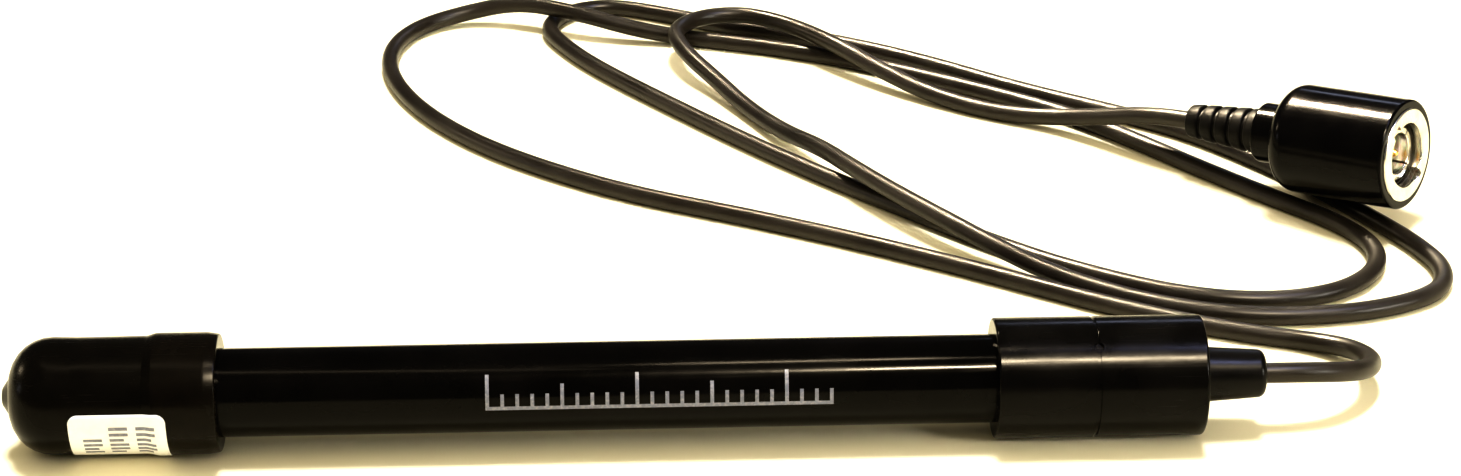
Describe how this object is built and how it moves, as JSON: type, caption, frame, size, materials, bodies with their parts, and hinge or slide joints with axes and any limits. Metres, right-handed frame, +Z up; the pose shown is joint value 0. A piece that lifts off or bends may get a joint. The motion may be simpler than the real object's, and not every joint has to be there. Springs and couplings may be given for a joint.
{
  "type": "water quality probe",
  "caption": "Slim combination pH electrode with a rubber storage cap, a two-piece grip, a tapered strain relief and a thin coaxial lead that ends in a bayonet plug.",
  "frame": {"origin": "under the middle of the probe's length, on the surface that it lies on, without the cable and its plug", "axes": "+X along the probe towards the end where the cable leaves, +Z up from the surface"},
  "size_m": [0.2091, 0.1721, 0.0211],
  "materials": {
    "cap_rubber": "glossy moulded rubber",
    "sponge": "open-cell foam",
    "label": "printed vinyl film",
    "body_black": "polished",
    "membrane_glass": "clear",
    "stem_glass": "clear",
    "silver": "dull silver chloride",
    "epoxy": "cast",
    "ceramic": "porous",
    "seal": "silicone",
    "gel": "translucent gel",
    "ink": "printed ink",
    "grip_black": "glossy moulded",
    "relief_rubber": "semi-gloss",
    "cable_jacket": "semi-gloss PVC",
    "core_insulation": "polyethylene",
    "copper": "bright copper",
    "brass": "machined",
    "boot_rubber": "semi-gloss",
    "nickel": "nickel plate",
    "ptfe": "white fluoropolymer",
    "gold": "gold plate",
    "gasket": "silicone",
    "spring_steel": "spring temper",
    "cover_black": "glossy moulded"
  },
  "bodies": {
    "probe": {"body_tube": "body_black", "ph_bulb": "membrane_glass", "glass_stem": "stem_glass", "signal_electrode": "silver", "reference_electrode": "silver", "stem_plug": "epoxy", "junction_pin": "ceramic", "tip_seal": "seal", "reference_gel": "gel", "head_potting": "epoxy", "body_print": "ink", "grip_front": "grip_black", "grip_rear": "grip_black", "strain_relief": "relief_rubber", "cable_tail": "cable_jacket", "cable_core": "core_insulation", "core_conductor": "copper", "shield_lead": "copper", "cable_clamp": "brass", "plug_boot": "boot_rubber", "plug_cable_tail": "cable_jacket", "plug_conductor": "copper", "crimp_ferrule": "nickel", "plug_body": "nickel", "plug_outer_contact": "nickel", "plug_insulator": "ptfe", "plug_centre_pin": "gold", "plug_gasket": "gasket", "retaining_ring": "spring_steel", "spring_washer": "spring_steel", "cable_start": "cable_jacket", "cable_left_bend": "cable_jacket", "cable_middle": "cable_jacket", "cable_right_bend": "cable_jacket", "cable_end": "cable_jacket"},
    "cap": {"storage_cap": "cap_rubber", "cap_sponge": "sponge", "cap_label": "label"},
    "coupling": {"coupling_nut": "nickel", "coupling_cover": "cover_black"}
  },
  "joints": [
    {"name": "cap_pull", "type": "slide", "parent": "probe", "child": "cap", "axis": [-1, 0, 0], "range_m": [0, 0.07]},
    {"name": "coupling_spin", "type": "hinge", "parent": "probe", "child": "coupling", "pos_m": [0.10885, 0.07191, 0.01137], "axis": [0.7621, -0.6394, 0.1019], "continuous": true}
  ]
}
